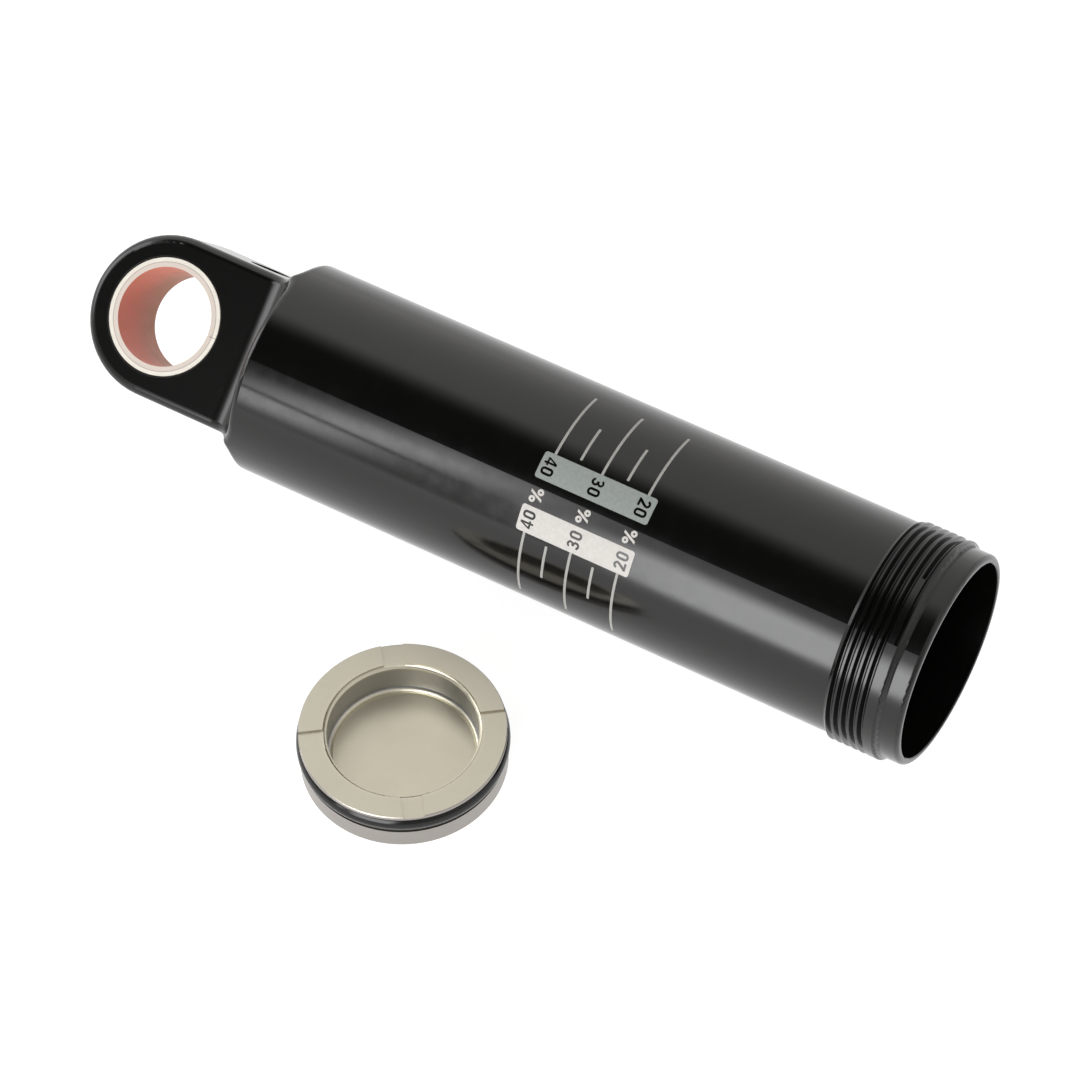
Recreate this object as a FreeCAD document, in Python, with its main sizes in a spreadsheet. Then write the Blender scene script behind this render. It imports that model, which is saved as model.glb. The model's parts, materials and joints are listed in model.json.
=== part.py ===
import FreeCAD, Part
import Sketcher
import os
from FreeCAD import Vector, Placement, Rotation

# Damper body of a bicycle rear shock, with its internal floating piston lying beside it.
#
# Frame: millimetres, +Z up. The origin is the centre of the eyelet's bore. +X runs along the tube
# towards its open, threaded end. The tube lies on its thread crest, rolled about X, so the eyelet's
# bore leans from the vertical by the roll angle and the gas-fill port looks up and back (+Y).
# The floating piston lies flat on the same plane, cup upwards, in front of the tube (-Y).
#
# Each sub-part is drawn in its own axes: x along the tube, z along the eyelet's bore for the body's
# pieces, z along the piston's axis for the piston's pieces. The body's Placement then puts it down.

DRIVING_DIMENSIONS = [
    # alias, value, what it is
    ("roll_angle", 36.12, "roll of the damper body about the tube's axis"),
    ("tube_radius", 14.00, "outside of the tube"),
    ("bore_radius", 12.92, "damper bore"),
    ("shoulder_x", 14.98, "closed end of the tube"),
    ("bore_floor_x", 19.50, "inner floor of the bore"),
    ("floor_fillet", 1.20, "fillet round the bore's floor"),
    ("mouth_x", 109.48, "open end of the tube"),
    ("mouth_chamfer", 0.12, "lead-in chamfer of the bore"),
    ("thread_x", 99.35, "start of the threaded land"),
    ("thread_step", 0.55, "length of the step up to the thread's crest"),
    ("thread_lead_in", 0.28, "from the land's start to the first turn of the groove"),
    ("crest_radius", 14.50, "crest of the external thread"),
    ("thread_pitch", 1.058, "24 threads to the inch"),
    ("thread_depth", 0.60, "depth of the thread's groove"),
    ("thread_turns", 5.4, "full-depth turns of the thread"),
    ("run_out_turns", 0.50, "turns over which the thread runs out into the land"),
    ("land_end_x", 106.15, "end of the plain land at crest diameter"),
    ("nose_start_x", 107.05, "foot of the curved step from the land down to the nose"),
    ("step_radius", 0.495, "radius of that step's two arcs"),
    ("nose_radius", 13.92, "plain nose between the thread and the mouth"),
    ("nose_round", 0.60, "rounding of the nose's outer edge"),
    ("eyelet_radius", 10.52, "outside of the eyelet and half the plate's width"),
    ("plate_thickness", 12.70, "thickness of the eyelet plate"),
    ("flat_cove", 3.80, "cutter radius where the flats run out into the tube's end"),
    ("side_cove", 2.40, "cutter radius where the narrow sides run out"),
    ("edge_round", 1.15, "rounded outline of the plate"),
    ("shoulder_round", 0.90, "broken edge of the tube's closed end"),
    ("stock_margin", 6.00, "how far a milling cut reaches past the stock"),
    ("seat_radius", 7.54, "bore of the eyelet that the bush is pressed into"),
    ("seat_chamfer", 0.25, "chamfer of the seat"),
    ("liner_outer_radius", 6.95, "between the bush's steel shell and its sliding layer"),
    ("bush_radius", 6.35, "inside of the bush, half an inch across"),
    ("bush_length", 12.70, "length of the bush"),
    ("bush_seam", 0.06, "joint line of the rolled bush"),
    ("port_x", 8.40, "gas-fill port, from the eyelet's centre"),
    ("port_floor_y", 5.20, "floor of the port"),
    ("port_radius", 2.02, "tapped part of the port"),
    ("spot_radius", 2.70, "spot face that the filling tool seals on"),
    ("spot_depth", 1.32, "depth of the spot face"),
    ("gas_way_radius", 0.80, "passage from the port to the bore"),
    ("gas_way_y", 4.10, "passage's height above the tube's axis"),
    ("needle_radius", 0.60, "hole from the port's floor to the passage"),
    ("screw_radius", 2.00, "fill screw, M4"),
    ("screw_length", 2.20, "length of the fill screw"),
    ("screw_foot_y", 6.85, "inner end of the fill screw"),
    ("screw_chamfer", 0.25, "chamfers of the fill screw"),
    ("hex_across_flats", 2.00, "hexagon socket of the fill screw"),
    ("hex_depth", 1.30, "depth of the hexagon socket"),
    ("pellet_height", 1.60, "rubber pellet under the fill screw"),
    ("pellet_round", 0.20, "rounded rims of the pellet"),
    ("piston_x", 53.02, "piston's place along the tube"),
    ("piston_y", -35.92, "piston's place in front of the tube"),
    ("piston_turn", 36.30, "direction of the piston's first slot"),
    ("piston_radius", 12.88, "lands of the floating piston"),
    ("piston_height", 6.10, "height of the floating piston"),
    ("foot_chamfer", 0.20, "chamfer of the piston's lower edge"),
    ("crown_chamfer", 0.10, "chamfer of the piston's upper edge"),
    ("groove_low_z", 2.95, "lower side of the seal groove"),
    ("groove_high_z", 5.60, "upper side of the seal groove"),
    ("groove_radius", 10.62, "floor of the seal groove"),
    ("cup_radius", 9.40, "wall of the piston's cup"),
    ("cup_lip", 0.45, "rounded lip of the cup"),
    ("cup_floor_z", 1.10, "floor of the cup"),
    ("cup_fillet", 0.60, "fillet round the cup's floor"),
    ("slot_width", 2.70, "spanner slots in the piston's crown"),
    ("slot_depth", 0.30, "depth of the spanner slots"),
    ("slot_count", 4, "number of spanner slots"),
    ("ring_section", 1.28, "half the thickness of the piston's O-ring"),
    ("ring_clearance", 0.02, "O-ring to groove floor"),
]


COS_30 = 3 ** 0.5 / 2


class Size:
    """A length and the spreadsheet expression that drives it."""

    def __init__(self, value, text):
        self.value = float(value)
        self.text = text

    def combine(self, other, sign, result):
        other_text = other.text if isinstance(other, Size) else repr(float(other))
        return Size(result, f"({self.text} {sign} {other_text})")

    def __add__(self, other):
        return self.combine(other, "+", self.value + number(other))

    def __sub__(self, other):
        return self.combine(other, "-", self.value - number(other))

    def __mul__(self, other):
        return self.combine(other, "*", self.value * number(other))

    def __truediv__(self, other):
        return self.combine(other, "/", self.value / number(other))

    def __neg__(self):
        return Size(-self.value, f"(-{self.text})")


def number(length):
    return length.value if isinstance(length, Size) else float(length)


document = FreeCAD.newDocument("damper_body_kit")
sheet = document.addObject("Spreadsheet::Sheet", "Sheet")
size = {}
for row, (alias, value, meaning) in enumerate(DRIVING_DIMENSIONS, start=1):
    sheet.set(f"A{row}", alias)
    sheet.set(f"B{row}", str(value))
    sheet.set(f"C{row}", meaning)
    sheet.setAlias(f"B{row}", alias)
    size[alias] = Size(value, f"Sheet.{alias}")
document.recompute()


# ---- helpers -------------------------------------------------------------------------------

def new_body(name):
    body = document.addObject("PartDesign::Body", name)
    body.Label = name
    return body


def origin_feature(body, role):
    return next(f for f in body.Origin.OriginFeatures if f.Role == role)


def new_sketch(body, name, plane, offset=None):
    """A sketch on one of the body's own planes, moved along the plane's normal by offset."""
    sketch = body.newObject("Sketcher::SketchObject", name)
    sketch.AttachmentSupport = [(origin_feature(body, plane), "")]
    sketch.MapMode = "FlatFace"
    if offset is not None:
        sketch.setExpression("AttachmentOffset.Base.z", offset.text)
    return sketch


def hold(sketch, kind, ends, length):
    """A signed distance, written as a positive one with its ends in the right order."""
    if length.value < 0:
        ends, length = ends[2:] + ends[:2], -length
    index = sketch.addConstraint(Sketcher.Constraint(kind, *ends, length.value))
    sketch.setExpression(f"Constraints[{index}]", length.text)


def pin_point(sketch, geometry, end, x, y):
    """Hold one point of the sketch at x, y from the sketch's origin."""
    for kind, length, zero_axis in (("DistanceX", x, -2), ("DistanceY", y, -1)):
        if number(length) == 0:
            sketch.addConstraint(Sketcher.Constraint("PointOnObject", geometry, end, zero_axis))
        else:
            hold(sketch, kind, (-1, 1, geometry, end), length)


def arc_through(start, end, radius, bulge):
    """The arc of a radius from start to end; bulge +1 puts it on the left of the way there."""
    chord = end - start
    side = Vector(-chord.y, chord.x, 0).normalize() * bulge
    rise = radius - max(radius ** 2 - (chord.Length / 2) ** 2, 0) ** 0.5
    first, last = (end, start) if bulge > 0 else (start, end)  # drawn anticlockwise
    return Part.Arc(first, (start + end) / 2 + side * rise, last)


def draw_outline(sketch, corners):
    """A closed wire. A corner is (x, y), or (x, y, radius, bulge) where an arc leaves it."""
    places = [Vector(number(c[0]), number(c[1]), 0) for c in corners]
    first = sketch.GeometryCount
    count = len(corners)
    for i, corner in enumerate(corners):
        start, end = places[i], places[(i + 1) % count]
        if len(corner) == 2:
            sketch.addGeometry(Part.LineSegment(start, end), False)
        else:
            sketch.addGeometry(arc_through(start, end, number(corner[2]), corner[3]), False)
    head, tail = [], []
    for i, corner in enumerate(corners):
        edge = sketch.Geometry[first + i]
        ends = [edge.StartPoint, edge.EndPoint]
        forward = ends[0].distanceToPoint(places[i]) < ends[1].distanceToPoint(places[i])
        head.append(1 if forward else 2)
        tail.append(2 if forward else 1)
    for i, corner in enumerate(corners):
        after = (i + 1) % count
        joint = (first + i, tail[i], first + after, head[after])
        sketch.addConstraint(Sketcher.Constraint("Coincident", *joint))
    for i, corner in enumerate(corners):
        pin_point(sketch, first + i, head[i], corner[0], corner[1])
        if len(corner) == 4:
            radius = sketch.addConstraint(Sketcher.Constraint("Radius", first + i, number(corner[2])))
            sketch.setExpression(f"Constraints[{radius}]", corner[2].text)


def draw_circle(sketch, radius, x=0, y=0):
    centre = Vector(number(x), number(y), 0)
    circle = sketch.addGeometry(Part.Circle(centre, Vector(0, 0, 1), radius.value), False)
    pin_point(sketch, circle, 3, x, y)
    index = sketch.addConstraint(Sketcher.Constraint("Radius", circle, radius.value))
    sketch.setExpression(f"Constraints[{index}]", radius.text)


def revolve(body, name, sketch, axis="H_Axis"):
    feature = body.newObject("PartDesign::Revolution", name)
    feature.Profile = sketch
    feature.ReferenceAxis = (sketch, [axis])
    feature.Angle = 360
    document.recompute()
    return feature


def pad(body, name, sketch, length):
    feature = body.newObject("PartDesign::Pad", name)
    feature.Profile = sketch
    feature.setExpression("Length", length.text)
    feature.Midplane = True
    document.recompute()
    return feature


def pocket(body, name, sketch, both_ways=False, upward=False, length=None):
    """A cut that must remove metal: through everything, or length deep, against the normal."""
    before = body.Shape.Volume
    feature = body.newObject("PartDesign::Pocket", name)
    feature.Profile = sketch
    if length is None:
        feature.Type = "ThroughAll"
    else:
        feature.setExpression("Length", length.text)
    feature.Midplane = both_ways
    feature.Reversed = upward
    document.recompute()
    if not feature.Shape.Volume < before - 1e-6:
        raise RuntimeError(f"{name} cut nothing")
    return feature


def edge_names(shape, chosen):
    return [f"Edge{i}" for i, edge in enumerate(shape.Edges, start=1) if chosen(edge)]


def dress_edges(body, kind, name, chosen, amount):
    """A Fillet or Chamfer on the edges of the body's tip that a test picks."""
    base = body.Tip
    names = edge_names(base.Shape, chosen)
    feature = body.newObject(f"PartDesign::{kind}", name)
    feature.Base = (base, names)
    feature.setExpression("Radius" if kind == "Fillet" else "Size", amount.text)
    document.recompute()
    return feature


def all_points(edge, test, samples=9):
    return all(test(p) for p in edge.discretize(samples))


def near(a, b):
    return abs(a - b) < 1e-4


# ---- damper body -------------------------------------------------------------------------------

def turned_section(s):
    """Half section of the turned bar: solid behind the bore's floor, open at the mouth."""
    bar_end = -(s["eyelet_radius"] + 0.5)
    crest_x = s["thread_x"] + s["thread_step"]
    step_x = (s["land_end_x"] + s["nose_start_x"]) / 2
    step_y = (s["crest_radius"] + s["nose_radius"]) / 2
    return [
        (bar_end, 0),
        (bar_end, s["tube_radius"]),
        (s["thread_x"], s["tube_radius"]),
        (crest_x, s["crest_radius"]),
        (s["land_end_x"], s["crest_radius"], s["step_radius"], +1),
        (step_x, step_y, s["step_radius"], -1),
        (s["nose_start_x"], s["nose_radius"]),
        (s["mouth_x"] - s["nose_round"], s["nose_radius"], s["nose_round"], +1),
        (s["mouth_x"], s["nose_radius"] - s["nose_round"]),
        (s["mouth_x"], s["bore_radius"] + s["mouth_chamfer"]),
        (s["mouth_x"] - s["mouth_chamfer"], s["bore_radius"]),
        (s["bore_floor_x"] + s["floor_fillet"], s["bore_radius"], s["floor_fillet"], -1),
        (s["bore_floor_x"], s["bore_radius"] - s["floor_fillet"]),
        (s["bore_floor_x"], 0),
    ]


def flat_cut(s, side):
    """What a bull-nosed cutter takes off one flat of the plate, seen from the side."""
    half = s["plate_thickness"] / 2
    far = s["tube_radius"] + s["stock_margin"]
    start = -(s["eyelet_radius"] + s["stock_margin"])
    cove_x = s["shoulder_x"] - s["flat_cove"]
    signed = (lambda v: v) if side > 0 else (lambda v: -v)
    return [
        (start, signed(half)),
        (cove_x, signed(half), s["flat_cove"], -side),
        (s["shoulder_x"], signed(half + s["flat_cove"])),
        (s["shoulder_x"], signed(far)),
        (start, signed(far)),
    ]


def outline_cut(s):
    """What milling round the plate's outline takes off, seen along the eyelet's bore."""
    half = s["eyelet_radius"]
    far = s["tube_radius"] + s["stock_margin"]
    start = -(s["eyelet_radius"] + s["stock_margin"])
    cove_x = s["shoulder_x"] - s["side_cove"]
    return [
        (s["shoulder_x"], far),
        (start, far),
        (start, -far),
        (s["shoulder_x"], -far),
        (s["shoulder_x"], -(half + s["side_cove"]), s["side_cove"], -1),
        (cove_x, -half),
        (0, -half, half, +1),
        (-half, 0, half, +1),
        (0, half),
        (cove_x, half, s["side_cove"], -1),
        (s["shoulder_x"], half + s["side_cove"]),
    ]


def thread_groove(s, middle_x):
    """The V of the thread, drawn on the underside (-z) and reaching just out of the crest."""
    crest, root = s["crest_radius"] + 0.05, s["crest_radius"] - s["thread_depth"]
    mouth, floor = s["thread_depth"] * 0.70, s["thread_depth"] * 0.08
    return [
        (middle_x - mouth, -crest),
        (middle_x + mouth, -crest),
        (middle_x + floor, -root),
        (middle_x - floor, -root),
    ]


def cut_helix(body, name, start_x, turns, s, growth=None):
    """Cut the thread's groove along a right-hand helix; growth makes it climb out of the metal."""
    before = body.Shape.Volume
    groove = new_sketch(body, f"{name}_groove", "XZ_Plane")
    draw_outline(groove, thread_groove(s, start_x))
    feature = body.newObject("PartDesign::SubtractiveHelix", name)
    feature.Profile = groove
    feature.ReferenceAxis = (groove, ["H_Axis"])
    if growth is None:
        feature.Mode = "pitch-turns-angle"
        feature.setExpression("Pitch", s["thread_pitch"].text)
    else:
        feature.Mode = "height-turns-growth"
        feature.setExpression("Height", (s["thread_pitch"] * turns).text)
        feature.setExpression("Growth", growth.text)
    feature.setExpression("Turns", turns.text)
    document.recompute()
    if not feature.Shape.Volume < before - 1e-6:
        raise RuntimeError(f"{name} cut nothing")


def make_damper_body(s):
    body = new_body("damper_body")
    section = new_sketch(body, "turned_section", "XZ_Plane")
    draw_outline(section, turned_section(s))
    revolve(body, "turned_bar", section)

    flats = new_sketch(body, "flats_outline", "XZ_Plane")
    draw_outline(flats, flat_cut(s, +1))
    draw_outline(flats, flat_cut(s, -1))
    pocket(body, "milled_flats", flats, both_ways=True)
    outline = new_sketch(body, "plate_outline", "XY_Plane")
    draw_outline(outline, outline_cut(s))
    pocket(body, "milled_outline", outline, both_ways=True)
    dress_edges(body, "Fillet", "rounded_outline", lambda e: is_plate_outline(e, s), s["edge_round"])

    seat = new_sketch(body, "seat_outline", "XY_Plane")
    draw_circle(seat, s["seat_radius"])
    pocket(body, "eyelet_seat", seat, both_ways=True)
    dress_edges(body, "Chamfer", "seat_chamfers", lambda e: is_seat_mouth(e, s), s["seat_chamfer"])

    cut_fill_port(body, s)

    start_x = s["thread_x"] + s["thread_lead_in"]
    cut_helix(body, "thread", start_x, s["thread_turns"], s)
    end_x = start_x + s["thread_pitch"] * s["thread_turns"]
    cut_helix(body, "thread_run_out", end_x, s["run_out_turns"], s, growth=s["thread_depth"] + 0.1)

    dress_edges(body, "Fillet", "broken_shoulder", lambda e: is_shoulder(e, s), s["shoulder_round"])
    return body


def is_plate_outline(edge, s):
    """The long edges of the plate's two flats, up to where the coves begin."""
    half = s["plate_thickness"].value / 2
    cove_x = s["shoulder_x"].value - s["flat_cove"].value
    across = all_points(edge, lambda p: near(p.x, cove_x))
    return not across and all_points(edge, lambda p: near(abs(p.z), half) and p.x < cove_x + 1e-4)


def is_seat_mouth(edge, s):
    round_edge = hasattr(edge.Curve, "Radius") and near(edge.Curve.Radius, s["seat_radius"].value)
    return round_edge and len(edge.Vertexes) == 1


def is_shoulder(edge, s):
    """The outer edge of the tube's closed end."""
    round_edge = hasattr(edge.Curve, "Radius") and near(edge.Curve.Radius, s["tube_radius"].value)
    return round_edge and all_points(edge, lambda p: near(p.x, s["shoulder_x"].value))


def cut_fill_port(body, s):
    """Spot face, tapped bore and needle hole in the plate's +y side, and the passage to the bore."""
    for name, radius, floor_y in (
        ("spot_face", s["spot_radius"], s["eyelet_radius"] - s["spot_depth"]),
        ("port_bore", s["port_radius"], s["port_floor_y"]),
        ("needle_hole", s["needle_radius"], s["gas_way_y"]),
    ):
        hole = new_sketch(body, f"{name}_circle", "XZ_Plane", offset=-floor_y)
        draw_circle(hole, radius, x=s["port_x"])
        pocket(body, name, hole)
    start_x = s["bore_floor_x"] + s["floor_fillet"]
    way = new_sketch(body, "gas_way_circle", "YZ_Plane", offset=start_x)
    draw_circle(way, s["gas_way_radius"], x=s["gas_way_y"])
    pocket(body, "gas_way", way, length=start_x - (s["port_x"] - s["needle_radius"]))


# ---- pieces in the eyelet plate ----------------------------------------------------------------

def make_bush_layer(name, s, inner, outer):
    """One layer of the rolled bush, with its joint line on the side towards the tube."""
    body = new_body(name)
    ring = new_sketch(body, f"{name}_ring", "XY_Plane")
    draw_circle(ring, outer)
    draw_circle(ring, inner)
    pad(body, f"{name}_length", ring, s["bush_length"])
    seam = new_sketch(body, f"{name}_seam_outline", "XY_Plane")
    half = s["bush_seam"] / 2
    reach = s["seat_radius"] + 1
    draw_outline(seam, [(0, -half), (reach, -half), (reach, half), (0, half)])
    pocket(body, f"{name}_seam", seam, both_ways=True)
    return body


def make_fill_screw(s):
    body = new_body("fill_screw")
    shank = new_sketch(body, "shank_section", "XY_Plane")
    foot, top = s["screw_foot_y"], s["screw_foot_y"] + s["screw_length"]
    bevel = s["screw_chamfer"]
    draw_outline(shank, [
        (0, foot),
        (s["screw_radius"] - bevel, foot),
        (s["screw_radius"], foot + bevel),
        (s["screw_radius"], top - bevel),
        (s["screw_radius"] - bevel, top),
        (0, top),
    ])
    revolve(body, "shank", shank, axis="V_Axis")
    socket = new_sketch(body, "socket_outline", "XZ_Plane", offset=-(top - s["hex_depth"]))
    flat = s["hex_across_flats"] / 2
    corner, half_side = flat / COS_30, flat / COS_30 / 2
    draw_outline(socket, [
        (corner, 0), (half_side, flat), (-half_side, flat),
        (-corner, 0), (-half_side, -flat), (half_side, -flat),
    ])
    pocket(body, "hex_socket", socket)
    return body


def make_fill_pellet(s):
    body = new_body("fill_pellet")
    section = new_sketch(body, "pellet_section", "XY_Plane")
    foot, top = s["port_floor_y"] + 0.01, s["port_floor_y"] + s["pellet_height"]
    edge = s["pellet_round"]
    draw_outline(section, [
        (0, foot),
        (s["screw_radius"] - edge, foot, edge, -1),
        (s["screw_radius"], foot + edge),
        (s["screw_radius"], top - edge, edge, -1),
        (s["screw_radius"] - edge, top),
        (0, top),
    ])
    revolve(body, "pellet", section, axis="V_Axis")
    return body


# ---- floating piston ---------------------------------------------------------------------------

def piston_section(s):
    """Half section of the floating piston: radius across, height up its axis."""
    land, top = s["piston_radius"], s["piston_height"]
    foot, crown = s["foot_chamfer"], s["crown_chamfer"]
    lip, fillet = s["cup_lip"], s["cup_fillet"]
    return [
        (0, 0),
        (land - foot, 0),
        (land, foot),
        (land, s["groove_low_z"]),
        (s["groove_radius"], s["groove_low_z"]),
        (s["groove_radius"], s["groove_high_z"]),
        (land, s["groove_high_z"]),
        (land, top - crown),
        (land - crown, top),
        (s["cup_radius"] + lip, top, lip, +1),
        (s["cup_radius"], top - lip),
        (s["cup_radius"], s["cup_floor_z"] + fillet, fillet, -1),
        (s["cup_radius"] - fillet, s["cup_floor_z"]),
        (0, s["cup_floor_z"]),
    ]


def make_floating_piston(s):
    body = new_body("floating_piston")
    section = new_sketch(body, "piston_section", "XZ_Plane")
    draw_outline(section, piston_section(s))
    revolve(body, "turned_piston", section, axis="V_Axis")
    half = s["slot_width"] / 2
    inner, outer = s["cup_radius"] - 0.6, s["piston_radius"] + 1
    slot = new_sketch(body, "slot_outline", "XY_Plane", offset=s["piston_height"] - s["slot_depth"])
    draw_outline(slot, [(inner, -half), (outer, -half), (outer, half), (inner, half)])
    first = pocket(body, "spanner_slot", slot, upward=True)
    pattern = body.newObject("PartDesign::PolarPattern", "spanner_slots")
    pattern.Originals = [first]
    pattern.Axis = (slot, ["N_Axis"])
    pattern.Angle = 360
    pattern.setExpression("Occurrences", s["slot_count"].text)
    body.Tip = pattern
    document.recompute()
    return body


def make_piston_o_ring(s):
    ring = document.addObject("Part::Torus", "piston_o_ring")
    ring.Label = "piston_o_ring"
    inner = s["groove_radius"] + s["ring_clearance"]
    ring.setExpression("Radius1", (inner + s["ring_section"]).text)
    ring.setExpression("Radius2", s["ring_section"].text)
    return ring


# ---- assembly ----------------------------------------------------------------------------------

def place(part, x, y, z, axis, angle):
    """Put a sub-part down from the sheet: a turn about an axis, then a shift."""
    part.Placement = Placement(Vector(number(x), number(y), number(z)), Rotation(axis, number(angle)))
    for way, length in (("x", x), ("y", y), ("z", z)):
        if isinstance(length, Size):
            part.setExpression(f"Placement.Base.{way}", length.text)
    part.setExpression("Placement.Rotation.Angle", angle.text)


floor_z = -size["crest_radius"]
damper_pieces = [
    make_damper_body(size),
    make_bush_layer("bush_shell", size, size["liner_outer_radius"], size["seat_radius"]),
    make_bush_layer("bush_liner", size, size["bush_radius"], size["liner_outer_radius"]),
]
port_pieces = [make_fill_screw(size), make_fill_pellet(size)]
piston = make_floating_piston(size)
o_ring = make_piston_o_ring(size)
for piece in damper_pieces:
    place(piece, 0, 0, 0, Vector(1, 0, 0), size["roll_angle"])
for piece in port_pieces:
    place(piece, size["port_x"], 0, 0, Vector(1, 0, 0), size["roll_angle"])
upright = Vector(0, 0, 1)
place(piston, size["piston_x"], size["piston_y"], floor_z, upright, size["piston_turn"])
seal_z = floor_z + (size["groove_low_z"] + size["groove_high_z"]) / 2
place(o_ring, size["piston_x"], size["piston_y"], seal_z, upright, size["piston_turn"])
document.recompute()

failed = [o.Name for o in document.Objects if "Invalid" in o.State or "Error" in o.State]
if failed:
    raise RuntimeError(f"failed features: {failed}")
os.makedirs("parts", exist_ok=True)
for piece in damper_pieces + port_pieces + [piston, o_ring]:
    shape = piece.Shape
    if shape.isNull() or not shape.isValid() or len(shape.Solids) != 1:
        raise RuntimeError(f"{piece.Label} is not one valid solid")
    shape.exportStep(f"parts/{piece.Label}.step")
    print(piece.Label, round(shape.Volume, 2), "mm3", shape.BoundBox)
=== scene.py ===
import json
import math

import bmesh
import bpy
from mathutils import Matrix, Vector


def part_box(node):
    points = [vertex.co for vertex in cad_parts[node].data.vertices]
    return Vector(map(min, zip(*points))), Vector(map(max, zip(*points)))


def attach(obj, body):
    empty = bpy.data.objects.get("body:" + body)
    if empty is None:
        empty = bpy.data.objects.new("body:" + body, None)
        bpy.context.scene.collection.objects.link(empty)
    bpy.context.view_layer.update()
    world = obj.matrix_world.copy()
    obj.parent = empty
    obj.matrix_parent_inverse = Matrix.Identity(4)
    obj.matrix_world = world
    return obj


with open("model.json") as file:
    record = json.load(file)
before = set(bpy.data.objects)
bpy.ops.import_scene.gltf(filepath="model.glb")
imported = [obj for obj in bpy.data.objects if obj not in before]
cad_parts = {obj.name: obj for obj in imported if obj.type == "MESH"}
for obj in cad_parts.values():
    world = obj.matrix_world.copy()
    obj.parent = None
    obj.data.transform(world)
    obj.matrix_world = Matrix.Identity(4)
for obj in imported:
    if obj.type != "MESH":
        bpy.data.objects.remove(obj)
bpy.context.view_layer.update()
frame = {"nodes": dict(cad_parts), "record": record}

# Looks of the shock's damper body and its loose floating piston.
#
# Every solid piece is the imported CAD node, given a procedural finish. The sag scale that is printed
# on the tube is made here, as thin films of ink wrapped round it. Lengths in this file are in
# millimetres unless a name ends in _m; "along" is the distance along the tube (the row's X) and
# "turn" the angle round it in degrees, from the row's +Y towards +Z.

MM = 0.001
record = frame["record"]
mounts = {mount["name"]: mount for mount in record["mounts"]}

TUBE_RADIUS = mounts["tube_outside"]["dims"]["r_mm"]
BUSH_RADIUS = mounts["eyelet_bore"]["dims"]["r_mm"]
BORE_AXIS = Vector(mounts["eyelet_bore"]["axis"])
ROLL = math.atan2(-BORE_AXIS.y, BORE_AXIS.z)
PORT_X = mounts["fill_port"]["pos_m"][0] / MM
TUBE_START_X = mounts["tube_outside"]["pos_m"][0] / MM
SHOULDER_X = TUBE_START_X - 1.0
THREAD_X = TUBE_START_X + mounts["tube_outside"]["dims"]["length_mm"]

piston_low, piston_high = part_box("floating_piston")
PISTON_CENTRE = (piston_low + piston_high) / 2 / MM
PISTON_TOP = piston_high.z / MM
PISTON_RADIUS = mounts["piston_land"]["dims"]["r_mm"]
CUP_RADIUS = 9.4
ring_low, ring_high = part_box("piston_o_ring")
RING_MIDDLE = (ring_low.z + ring_high.z) / 2 / MM
FLOOR_Z_M = piston_low.z
TUBE_MIDDLE_M = Vector((0.055, 0.0, 0.0))


# ---- node trees --------------------------------------------------------------------------------

class Tree:
    """Short calls for building a node tree. A value is a number, a tuple or another node's output."""

    def __init__(self, tree):
        self.tree = tree
        tree.nodes.clear()

    def add(self, kind, **settings):
        node = self.tree.nodes.new(kind)
        for name, value in settings.items():
            setattr(node, name, value)
        return node

    def feed(self, socket, value):
        if isinstance(value, bpy.types.NodeSocket):
            self.tree.links.new(value, socket)
        else:
            socket.default_value = value

    def math(self, operation, a, b=0.0):
        node = self.add("ShaderNodeMath", operation=operation)
        self.feed(node.inputs[0], a)
        self.feed(node.inputs[1], b)
        return node.outputs[0]

    def vector(self, operation, a, b=(0.0, 0.0, 0.0)):
        node = self.add("ShaderNodeVectorMath", operation=operation)
        self.feed(node.inputs[0], a)
        self.feed(node.inputs[1], b)
        return node.outputs["Value" if operation in ("DOT_PRODUCT", "LENGTH") else "Vector"]

    def axes(self, vector):
        node = self.add("ShaderNodeSeparateXYZ")
        self.feed(node.inputs[0], vector)
        return node.outputs[0], node.outputs[1], node.outputs[2]

    def joined(self, x, y, z):
        node = self.add("ShaderNodeCombineXYZ")
        for socket, value in zip(node.inputs, (x, y, z)):
            self.feed(socket, value)
        return node.outputs[0]

    def step(self, value, low, high, to_low=0.0, to_high=1.0):
        """A smooth change from to_low to to_high as value goes from low to high."""
        node = self.add("ShaderNodeMapRange", interpolation_type="SMOOTHSTEP")
        for socket, number in zip(node.inputs, (value, low, high, to_low, to_high)):
            self.feed(socket, number)
        return node.outputs[0]

    def mix(self, factor, a, b):
        node = self.add("ShaderNodeMix", data_type="RGBA")
        self.feed(node.inputs["Factor"], factor)
        self.feed(node.inputs[6], a)
        self.feed(node.inputs[7], b)
        return node.outputs[2]

    def noise(self, vector, scale, detail=2.0, roughness=0.5):
        node = self.add("ShaderNodeTexNoise")
        settings = {"Vector": vector, "Scale": scale, "Detail": detail, "Roughness": roughness}
        for name, value in settings.items():
            self.feed(node.inputs[name], value)
        return node.outputs["Fac"]


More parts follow.
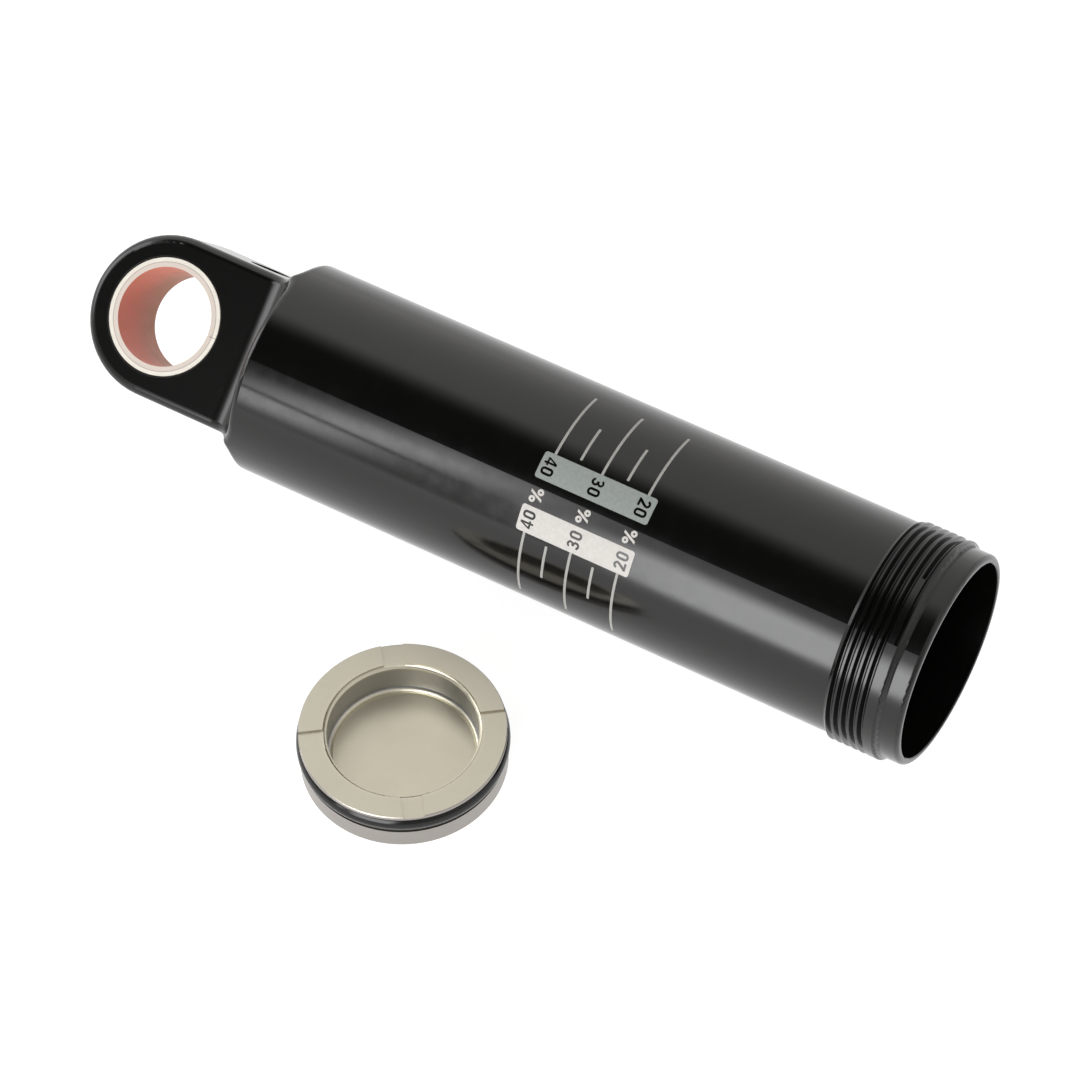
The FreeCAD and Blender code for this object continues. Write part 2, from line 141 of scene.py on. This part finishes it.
class Finish(Tree):
    """A Principled material whose detail is placed in the row frame, in millimetres."""

    def __init__(self, name, **uniform):
        self.material = bpy.data.materials.new(name)
        self.material.use_nodes = True
        super().__init__(self.material.node_tree)
        self.output = self.add("ShaderNodeOutputMaterial")
        self.shader = self.add("ShaderNodeBsdfPrincipled")
        self.tree.links.new(self.shader.outputs[0], self.output.inputs["Surface"])
        for socket, value in uniform.items():
            self.shader.inputs[socket.replace("_", " ")].default_value = value
        coordinates = self.add("ShaderNodeTexCoord")
        scaled = self.add("ShaderNodeVectorMath", operation="SCALE")
        self.feed(scaled.inputs[0], coordinates.outputs["Object"])
        scaled.inputs["Scale"].default_value = 1 / MM
        self.place = scaled.outputs[0]

    def unrolled(self):
        """The place in the damper's own axes: Z along the eyelet's bore, Y towards the fill port."""
        node = self.add("ShaderNodeVectorRotate", rotation_type="X_AXIS")
        self.feed(node.inputs["Vector"], self.place)
        node.inputs["Angle"].default_value = -ROLL
        return node.outputs[0]

    def set(self, name, value):
        self.feed(self.shader.inputs[name], value)

    def bump(self, height, depth, under=None):
        """Relief of a depth in millimetres, laid over another bump's normal if one is given."""
        node = self.add("ShaderNodeBump")
        node.inputs["Strength"].default_value = 1.0
        node.inputs["Distance"].default_value = depth * MM
        self.feed(node.inputs["Height"], height)
        if under is not None:
            self.feed(node.inputs["Normal"], under)
        self.feed(self.shader.inputs["Normal"], node.outputs[0])
        return node.outputs[0]


def polar(tree, vector, centre=(0.0, 0.0, 0.0)):
    """Distance from a vertical axis, the unit direction away from it, and the height."""
    x, y, z = tree.axes(tree.vector("SUBTRACT", vector, centre))
    flat = tree.joined(x, y, 0.0)
    return tree.vector("LENGTH", flat), tree.vector("NORMALIZE", flat), z


# ---- finishes ----------------------------------------------------------------------------------

def anodised_black():
    """Black hard anodising: glossy on the turned tube, satin and fine-grained on the milled plate."""
    finish = Finish("anodised_black", IOR=1.48)
    x, y, z = finish.axes(finish.place)
    on_tube = finish.step(x, SHOULDER_X - 0.5, SHOULDER_X + 0.5)
    on_thread = finish.step(x, THREAD_X - 0.1, THREAD_X + 0.4)
    around = finish.joined(finish.math("MULTIPLY", x, 6.0), finish.math("MULTIPLY", y, 0.12),
                           finish.math("MULTIPLY", z, 0.12))
    turned = finish.noise(around, 1.0, detail=4.0, roughness=0.6)
    grain = finish.noise(finish.place, 7.0, detail=3.0, roughness=0.6)
    cloud = finish.noise(finish.place, 0.16, detail=3.0)
    smudge = finish.step(finish.noise(finish.place, 0.45, detail=4.0, roughness=0.65), 0.42, 0.72)

    tone = finish.mix(cloud, (0.0012, 0.0012, 0.0012, 1), (0.0026, 0.0026, 0.0023, 1))
    tone = finish.mix(finish.math("MULTIPLY", grain, 0.5), tone, (0.0036, 0.0036, 0.0034, 1))
    finish.set("Base Color", tone)
    gloss = finish.math("ADD", finish.math("MULTIPLY", smudge, 0.035), finish.math("MULTIPLY", turned, 0.03))
    tube = finish.math("ADD", gloss, finish.step(on_thread, 0.0, 1.0, 0.11, 0.15))
    plate = finish.math("ADD", finish.math("MULTIPLY", grain, 0.08), 0.13)
    blend = finish.add("ShaderNodeMix", data_type="FLOAT")
    finish.feed(blend.inputs["Factor"], on_tube)
    finish.feed(blend.inputs[2], plate)
    finish.feed(blend.inputs[3], tube)
    finish.set("Roughness", blend.outputs[0])
    fine = finish.bump(finish.math("MULTIPLY", turned, on_tube), 0.0016)
    blasted = finish.math("MULTIPLY", grain, finish.math("SUBTRACT", 1.0, on_tube))
    finish.bump(blasted, 0.003, under=fine)
    return finish.material


def bush_ring():
    """Tin-flashed steel back of the bush: only its cream-coloured end rings show."""
    finish = Finish("bush_ring", Metallic=0.25)
    local = finish.unrolled()
    radius, _, height = polar(finish, local)
    lines = finish.noise(finish.joined(finish.math("MULTIPLY", radius, 14.0), 0.0,
                                       finish.math("MULTIPLY", height, 2.0)), 1.0, detail=3.0)
    stain = finish.noise(local, 0.9, detail=4.0, roughness=0.6)
    joint = finish.step(radius, BUSH_RADIUS + 0.60, BUSH_RADIUS + 0.72, 1.0, 0.0)
    cream = finish.mix(stain, (0.70, 0.665, 0.595, 1), (0.58, 0.54, 0.475, 1))
    finish.set("Base Color", finish.mix(joint, cream, (0.17, 0.155, 0.145, 1)))
    finish.set("Roughness", finish.step(lines, 0.2, 0.8, 0.34, 0.52))
    finish.bump(lines, 0.006)
    return finish.material


def bush_sliding_layer():
    """Copper-red sliding layer inside the bush, with its grey sintered edge at each end."""
    finish = Finish("bush_sliding_layer", Specular_IOR_Level=0.3)
    local = finish.unrolled()
    _, outward, height = polar(finish, local)
    half_length = mounts["eyelet_bore"]["dims"]["length_mm"] / 2
    end_face = finish.step(finish.math("ABSOLUTE", height), half_length - 0.10, half_length - 0.03)
    wall = finish.joined(finish.math("MULTIPLY", height, 1.1),
                         finish.vector("DOT_PRODUCT", outward, (9.0, 0.0, 0.0)),
                         finish.vector("DOT_PRODUCT", outward, (0.0, 9.0, 0.0)))
    mottle = finish.noise(wall, 0.55, detail=5.0, roughness=0.62)
    sinter = finish.noise(finish.place, 9.0, detail=2.0, roughness=0.7)
    red = finish.mix(finish.step(mottle, 0.3, 0.7), (0.57, 0.092, 0.036, 1), (0.52, 0.142, 0.062, 1))
    # Darker, browner patches that grow towards the bore's low end.
    browner_low_end = finish.math("MULTIPLY", finish.step(height, -6.0, 3.5, 0.85, 0.0),
                       finish.step(mottle, 0.2, 0.8, 0.7, 1.0))
    red = finish.mix(browner_low_end, red, (0.30, 0.165, 0.085, 1))
    red = finish.mix(finish.math("MULTIPLY", sinter, 0.12), red, (0.62, 0.42, 0.32, 1))
    edge = finish.mix(sinter, (0.55, 0.485, 0.435, 1), (0.46, 0.395, 0.35, 1))
    finish.set("Base Color", finish.mix(end_face, red, edge))
    finish.set("Roughness", finish.step(mottle, 0.2, 0.8, 0.38, 0.55))
    finish.bump(sinter, 0.008)
    return finish.material


def blackened_steel():
    """Black-oxide fill screw with faintly rubbed turning marks."""
    finish = Finish("blackened_steel", Metallic=0.8)
    local = finish.unrolled()
    x, y, z = finish.axes(local)
    across = finish.vector("LENGTH", finish.joined(finish.math("SUBTRACT", x, PORT_X), z, 0.0))
    rings = finish.noise(finish.joined(finish.math("MULTIPLY", across, 9.0),
                                       finish.math("MULTIPLY", y, 4.0), 0.0), 1.0, detail=3.0)
    rubbed = finish.step(finish.noise(local, 3.0, detail=4.0), 0.5, 0.75)
    finish.set("Base Color", finish.mix(rubbed, (0.018, 0.018, 0.02, 1), (0.085, 0.082, 0.08, 1)))
    finish.set("Roughness", finish.step(rings, 0.2, 0.8, 0.24, 0.42))
    finish.bump(rings, 0.004)
    return finish.material


def seal_rubber():
    """Oiled nitrile rubber: black, glossy in patches, with the mould's thin parting line."""
    finish = Finish("seal_rubber", IOR=1.40)
    _, _, height = polar(finish, finish.place, (PISTON_CENTRE.x, PISTON_CENTRE.y, RING_MIDDLE))
    film = finish.noise(finish.place, 0.7, detail=3.0, roughness=0.55)
    grain = finish.noise(finish.place, 16.0, detail=2.0)
    parting = finish.step(finish.math("ABSOLUTE", height), 0.0, 0.05, 1.0, 0.0)
    finish.set("Base Color", finish.mix(film, (0.0022, 0.0022, 0.0022, 1), (0.0050, 0.0050, 0.0046, 1)))
    finish.set("Roughness", finish.step(film, 0.35, 0.7, 0.10, 0.20))
    line = finish.bump(parting, 0.02)
    finish.bump(grain, 0.002, under=line)
    return finish.material


def turned_aluminium():
    """Fine-turned, satin clear-anodised aluminium: rings on the flats, rings along the walls."""
    finish = Finish("turned_aluminium", Metallic=1.0)
    radius, _, height = polar(finish, finish.place, (PISTON_CENTRE.x, PISTON_CENTRE.y, PISTON_TOP))
    turning = finish.joined(finish.math("MULTIPLY", radius, 11.0), finish.math("MULTIPLY", height, 9.0), 0.0)
    lines = finish.noise(turning, 1.0, detail=4.0, roughness=0.62)
    satin = finish.noise(finish.place, 13.0, detail=3.0, roughness=0.6)
    cloud = finish.noise(finish.place, 0.22, detail=3.0)
    handled = finish.step(finish.noise(finish.place, 0.9, detail=5.0, roughness=0.7), 0.56, 0.8)
    # Painted shade: the cup's inner wall gets a darker, greyer tone, standing in for the shade inside the
    # recess.
    from_wall = finish.math("ABSOLUTE", finish.math("SUBTRACT", radius, CUP_RADIUS))
    painted_shade_cup_wall = finish.math("MULTIPLY", finish.step(from_wall, 0.1, 0.35, 1.0, 0.0),
                           finish.step(height, -0.9, -0.4, 1.0, 0.0))
    land = finish.step(radius, CUP_RADIUS + 0.2, CUP_RADIUS + 1.0)
    # Painted shade: the outer wall gets a darker tone, standing in for the shadowed floor that it reflects.
    painted_shade_skirt = finish.step(radius, PISTON_RADIUS - 0.14, PISTON_RADIUS - 0.04)

    tone = finish.mix(cloud, (0.52, 0.49, 0.395, 1), (0.59, 0.56, 0.455, 1))
    tone = finish.mix(finish.math("MULTIPLY", handled, 0.25), tone, (0.42, 0.395, 0.315, 1))
    tone = finish.mix(finish.step(lines, 0.3, 0.7, 0.0, 0.16), tone, (0.43, 0.405, 0.325, 1))
    tone = finish.mix(finish.math("MULTIPLY", land, 0.35), tone, (0.42, 0.40, 0.345, 1))
    # Painted shade: the next two mixes darken the outer wall and the cup's inner wall.
    tone = finish.mix(finish.math("MULTIPLY", painted_shade_skirt, 0.7), tone, (0.27, 0.25, 0.255, 1))
    tone = finish.mix(finish.math("MULTIPLY", painted_shade_cup_wall, 0.75), tone, (0.30, 0.30, 0.31, 1))
    finish.set("Base Color", tone)
    finish.set("Roughness", finish.math("ADD", finish.step(satin, 0.25, 0.75, 0.33, 0.42),
                                        finish.math("MULTIPLY", handled, 0.05)))
    ridges = finish.bump(lines, 0.0035)
    finish.bump(satin, 0.0022, under=ridges)
    return finish.material


def printing_ink(name, light, dark):
    """A dry film of ink: slightly uneven cover, a soft sheen, and pinholes where it is thin."""
    finish = Finish(name)
    cover = finish.noise(finish.place, 2.4, detail=4.0, roughness=0.6)
    speck = finish.noise(finish.place, 14.0, detail=2.0, roughness=0.7)
    tone = finish.mix(finish.step(cover, 0.3, 0.7), light, dark)
    pinhole = finish.step(speck, 0.70, 0.80, 0.0, 0.35)
    finish.set("Base Color", finish.mix(pinhole, tone, tuple(0.45 * c for c in dark[:3]) + (1,)))
    finish.set("Roughness", finish.step(cover, 0.2, 0.8, 0.42, 0.58))
    finish.bump(speck, 0.003)
    return finish.material


FINISHES = {
    "damper_body": anodised_black(),
    "bush_shell": bush_ring(),
    "bush_liner": bush_sliding_layer(),
    "fill_screw": blackened_steel(),
    "floating_piston": turned_aluminium(),
    "piston_o_ring": seal_rubber(),
}
FINISHES["fill_pellet"] = FINISHES["piston_o_ring"]
for node_name, material in FINISHES.items():
    for slot in frame["nodes"][node_name].material_slots:
        slot.material = material


# ---- sag scale ---------------------------------------------------------------------------------

INK = 0.02                    # thickness of the printed film
INK_GAP = 0.004               # between the tube and the film
SCALE_TURN = 129.05           # middle of the scale, round the tube
BAR_TURNS = (14.35, 7.15)     # a bar's middle from the scale's middle, and half its own width
BAR_ALONG = (55.84, 71.48)
LINES_ALONG = {"40": 57.10, "30": 63.60, "20": 70.07}
SHORT_LINES_ALONG = (60.33, 66.83)
LONG_LINE_TURNS = (21.4, 65.0)
SHORT_LINE_TURNS = (24.0, 44.6)
LINE_WIDTH = 0.34
DEGREE = math.radians(TUBE_RADIUS)    # length of one degree round the tube


def arc(x, y, radius, start, end, steps=14):
    """Points along an arc between two angles in degrees."""
    angles = [math.radians(start + (end - start) * i / steps) for i in range(steps + 1)]
    return [(x + radius * math.cos(a), y + radius * math.sin(a)) for a in angles]


def round_box(x0, y0, x1, y1, radius):
    """A rectangle with rounded corners, from its upper right corner round to its lower right one."""
    left, right, low, high = x0 + radius, x1 - radius, y0 + radius, y1 - radius
    corners = ((right, high, 0), (left, high, 90), (left, low, 180), (right, low, 270))
    return [point for x, y, start in corners for point in arc(x, y, radius, start, start + 90, 6)]


# Outlines of the signs, one unit high, read left to right: the first loop is outside, the rest are
# counters inside it or separate islands.
SIGNS = {
    "0": [round_box(0.0, 0.0, 0.60, 1.0, 0.29), round_box(0.19, 0.18, 0.41, 0.82, 0.105)],
    "2": [arc(0.30, 0.71, 0.29, 175, -36) + [(0.30, 0.18), (0.60, 0.18), (0.60, 0.0), (0.0, 0.0), (0.0, 0.14)]
          + arc(0.30, 0.71, 0.11, -36, 175)],
    "3": [arc(0.29, 0.73, 0.27, 165, -52) + arc(0.29, 0.30, 0.30, 50, -165) + arc(0.29, 0.30, 0.12, -165, 90)
          + [(0.19, 0.42), (0.19, 0.62)] + arc(0.29, 0.73, 0.11, -90, 165)],
    "4": [[(0.33, 1.0), (0.50, 1.0), (0.50, 0.35), (0.62, 0.35), (0.62, 0.19), (0.50, 0.19), (0.50, 0.0),
           (0.34, 0.0), (0.34, 0.19), (0.0, 0.19), (0.0, 0.33)],
          [(0.34, 0.35), (0.34, 0.73), (0.15, 0.35)]],
    "%": [arc(0.18, 0.74, 0.25, 0, 345, 20), arc(0.18, 0.74, 0.08, 0, 345, 14),
          arc(0.82, 0.26, 0.25, 0, 345, 20), arc(0.82, 0.26, 0.08, 0, 345, 14),
          [(0.14, 0.0), (0.34, 0.0), (0.86, 1.0), (0.66, 1.0)]],
}
SIGN_HEIGHT, SIGN_WIDTH, SIGN_GAP = 1.70, 0.62, 0.13


def set_text(text, along, turn, reads_down):
    """Loops of a text centred at a place on the tube: read downwards, or turned half round."""
    width = len(text) * SIGN_WIDTH + (len(text) - 1) * SIGN_GAP
    way = 1.0 if reads_down else -1.0
    loops = []
    for i, sign in enumerate(text):
        left = i * (SIGN_WIDTH + SIGN_GAP) - width / 2
        for loop in SIGNS[sign]:
            loops.append([(along + way * (v - 0.5) * SIGN_HEIGHT,
                           turn * DEGREE + way * (left + u) * SIGN_HEIGHT) for u, v in loop])
    return loops


def line_across(along, side, turns):
    """Loop of a thin line round the tube, on one side of the scale's middle."""
    half = LINE_WIDTH / 2
    low, high = sorted((SCALE_TURN + side * turn) * DEGREE for turn in turns)
    return [round_box(along - half, low, along + half, high, half * 0.6)]


def wrap_ink(name, loops, material):
    """Fill flat loops (along the tube, round it), cut them into narrow strips and bend them on."""
    curve = bpy.data.curves.new(name, "CURVE")
    curve.dimensions, curve.fill_mode, curve.extrude = "2D", "BOTH", INK / 2
    for loop in loops:
        spline = curve.splines.new("POLY")
        spline.points.add(len(loop) - 1)
        for point, (along, around) in zip(spline.points, loop):
            point.co = (along, around, 0.0, 1.0)
        spline.use_cyclic_u = True
    flat = bpy.data.objects.new(name, curve)
    film = bmesh.new()
    film.from_mesh(bpy.data.meshes.new_from_object(flat))
    bpy.data.objects.remove(flat)

    bmesh.ops.remove_doubles(film, verts=film.verts, dist=1e-5)
    around = [vertex.co.y for vertex in film.verts]
    cut = math.ceil(min(around) / DEGREE)
    while cut * DEGREE < max(around):
        geometry = film.verts[:] + film.edges[:] + film.faces[:]
        bmesh.ops.bisect_plane(film, geom=geometry, plane_co=(0, cut * DEGREE, 0), plane_no=(0, 1, 0))
        cut += 1
    for vertex in film.verts:
        angle = vertex.co.y / TUBE_RADIUS
        radius = (TUBE_RADIUS + INK_GAP + INK / 2 + vertex.co.z) * MM
        vertex.co = (vertex.co.x * MM, radius * math.cos(angle), radius * math.sin(angle))
    bmesh.ops.recalc_face_normals(film, faces=film.faces)
    mesh = bpy.data.meshes.new(name)
    film.to_mesh(mesh)
    film.free()
    mesh.shade_smooth()
    mesh.set_sharp_from_angle(angle=math.radians(30))
    piece = bpy.data.objects.new(name, mesh)
    bpy.context.scene.collection.objects.link(piece)
    mesh.materials.append(material)
    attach(piece, "damper")


def print_scale():
    """Two bars that mirror each other, with cut-out figures, lines beyond them and signs between."""
    white = printing_ink("ink_white", (0.455, 0.435, 0.41, 1), (0.41, 0.395, 0.37, 1))
    pale = printing_ink("ink_pale", (0.30, 0.295, 0.275, 1), (0.25, 0.245, 0.23, 1))
    grey = printing_ink("ink_grey", (0.222, 0.243, 0.230, 1), (0.190, 0.210, 0.200, 1))
    offset, half = BAR_TURNS
    for name, side, ink, slot in (("scale_bar_upper", -1, grey, "scale_print_grey"),
                                  ("scale_bar_lower", +1, white, "scale_print_white")):
        turn = SCALE_TURN + side * offset
        edge = round_box(BAR_ALONG[0], (turn - half) * DEGREE, BAR_ALONG[1], (turn + half) * DEGREE, 0.38)
        loops = [edge]
        for text, along in LINES_ALONG.items():
            loops += set_text(text, along, turn, reads_down=side < 0)
        wrap_ink(name, loops, ink)

    lines = []
    for side in (-1, 1):
        for along in LINES_ALONG.values():
            lines += line_across(along, side, LONG_LINE_TURNS)
        for along in SHORT_LINES_ALONG:
            lines += line_across(along, side, SHORT_LINE_TURNS)
    wrap_ink("scale_lines", lines, pale)

    signs = []
    for along in LINES_ALONG.values():
        signs += set_text("%", along, SCALE_TURN, reads_down=True)
    wrap_ink("scale_percent_signs", signs, white)


print_scale()


# ---- floor, lights, camera ---------------------------------------------------------------------

def lay_floor():
    """A sheet of white paper that glows a little, so that the ground stays pale."""
    size = 6.0
    mesh = bpy.data.meshes.new("floor")
    mesh.from_pydata([(-size, -size, FLOOR_Z_M), (size, -size, FLOOR_Z_M), (size, size, FLOOR_Z_M),
                      (-size, size, FLOOR_Z_M)], [], [(0, 1, 2, 3)])
    floor = bpy.data.objects.new("floor", mesh)
    bpy.context.scene.collection.objects.link(floor)
    paper = Finish("paper_white", Roughness=0.9, Specular_IOR_Level=0.0, Emission_Strength=0.85)
    fibre = paper.noise(paper.place, 0.05, detail=3.0)
    paper.set("Base Color", paper.mix(fibre, (0.32, 0.32, 0.32, 1), (0.34, 0.34, 0.335, 1)))
    paper.set("Emission Color", (1.0, 1.0, 1.0, 1.0))
    mesh.materials.append(paper.material)


def direction(azimuth, elevation):
    """A unit vector: azimuth from the row's +X towards +Y, elevation above the floor."""
    a, e = math.radians(azimuth), math.radians(elevation)
    return Vector((math.cos(a) * math.cos(e), math.sin(a) * math.cos(e), math.sin(e)))


def build_tent():
    """White walls all round, brighter behind the tube, with a dark opening overhead."""
    world = bpy.data.worlds.new("tent")
    bpy.context.scene.world = world
    world.use_nodes = True
    tent = Tree(world.node_tree)
    ray = tent.add("ShaderNodeTexCoord").outputs["Generated"]
    x, y, _ = tent.axes(ray)
    walls = tent.math("MULTIPLY", tent.step(y, -0.75, 0.35, 0.62, 1.18),
                      tent.step(x, -0.42, -0.18, 1.22, 0.86))
    toward = tent.vector("DOT_PRODUCT", ray, tuple(direction(-145, 58)))
    opening = tent.step(toward, math.cos(math.radians(37)), math.cos(math.radians(14)), 1.0, 0.02)
    background = tent.add("ShaderNodeBackground")
    background.inputs["Color"].default_value = (1.0, 0.985, 0.965, 1)
    tent.feed(background.inputs["Strength"], tent.math("MULTIPLY", walls, opening))
    output = tent.add("ShaderNodeOutputWorld")
    tent.tree.links.new(background.outputs[0], output.inputs[0])


def hang_softbox(name, azimuths, elevations, radiance, feather, distance=0.40):
    """A softbox that fills a range of directions seen from the tube, fading towards its edges."""
    middle = direction(sum(azimuths) / 2, sum(elevations) / 2)
    half_wide = math.radians(abs(azimuths[1] - azimuths[0])) / 2
    half_tall = math.radians(elevations[1] - elevations[0]) / 2
    light = bpy.data.lights.new(name, "AREA")
    light.shape = "RECTANGLE"
    light.size = 2 * distance * math.tan(half_wide) * math.hypot(middle.x, middle.y)
    light.size_y = 2 * distance * math.tan(half_tall)
    light.energy = radiance * math.pi * light.size * light.size_y
    light.color = (0.985, 0.99, 1.0)
    light.use_nodes = True
    cloth = Tree(light.node_tree)
    u, v, _ = cloth.axes(cloth.add("ShaderNodeNewGeometry").outputs["Parametric"])
    glow = 1.0
    for place, (low, high) in ((u, feather[0]), (v, feather[1])):
        for fade, edge in ((low, place), (high, cloth.math("SUBTRACT", 1.0, place))):
            if fade:
                glow = cloth.math("MULTIPLY", glow, cloth.step(edge, 0.0, fade))
    emission = cloth.add("ShaderNodeEmission")
    cloth.feed(emission.inputs["Strength"], glow)
    output = cloth.add("ShaderNodeOutputLight")
    cloth.tree.links.new(emission.outputs[0], output.inputs[0])
    box = bpy.data.objects.new(name, light)
    box.location = TUBE_MIDDLE_M + middle * distance
    box.rotation_mode = "QUATERNION"
    box.rotation_quaternion = (-middle).to_track_quat("-Z", "Y")
    box.visible_camera = False
    bpy.context.scene.collection.objects.link(box)


def set_camera():
    """The camera looks down on the tube from the front, a little from the right."""
    lens = bpy.data.cameras.new("camera")
    lens.sensor_width, lens.lens = 36.0, 178.745
    lens.clip_start, lens.clip_end = 0.05, 20.0
    camera = bpy.data.objects.new("camera", lens)
    forward = Vector((-0.29782, 0.50113, -0.81251)).normalized()
    right = Vector((0.87146, 0.49018, -0.0171)).normalized()
    turned = Matrix((right, right.cross(forward), -forward)).transposed().to_4x4()
    camera.matrix_world = Matrix.Translation((0.25434, -0.34041, 0.53881)) @ turned
    bpy.context.scene.collection.objects.link(camera)
    bpy.context.scene.camera = camera


lay_floor()
build_tent()
hang_softbox("softbox_right", (-107.0, -70.0), (-4.0, 43.0), 7.4, ((0.06, 0.1), (0.25, 0.42)))
hang_softbox("softbox_left_high", (-121.5, -110.0), (20.9, 54.0), 5.9, ((0.68, 0.28), (0.06, 0.70)))
hang_softbox("softbox_left_low", (-120.5, -111.3), (-2.0, 19.6), 5.5, ((0.43, 0.33), (0.70, 0.08)))
hang_softbox("softbox_above", (-119.0, -88.0), (23.0, 55.0), 1.0, ((0.45, 0.15), (0.12, 0.35)))
hang_softbox("softbox_end", (-187.0, -150.0), (4.0, 48.0), 3.2, ((0.2, 0.2), (0.2, 0.2)))
set_camera()
bpy.context.scene.view_settings.view_transform = "Standard"
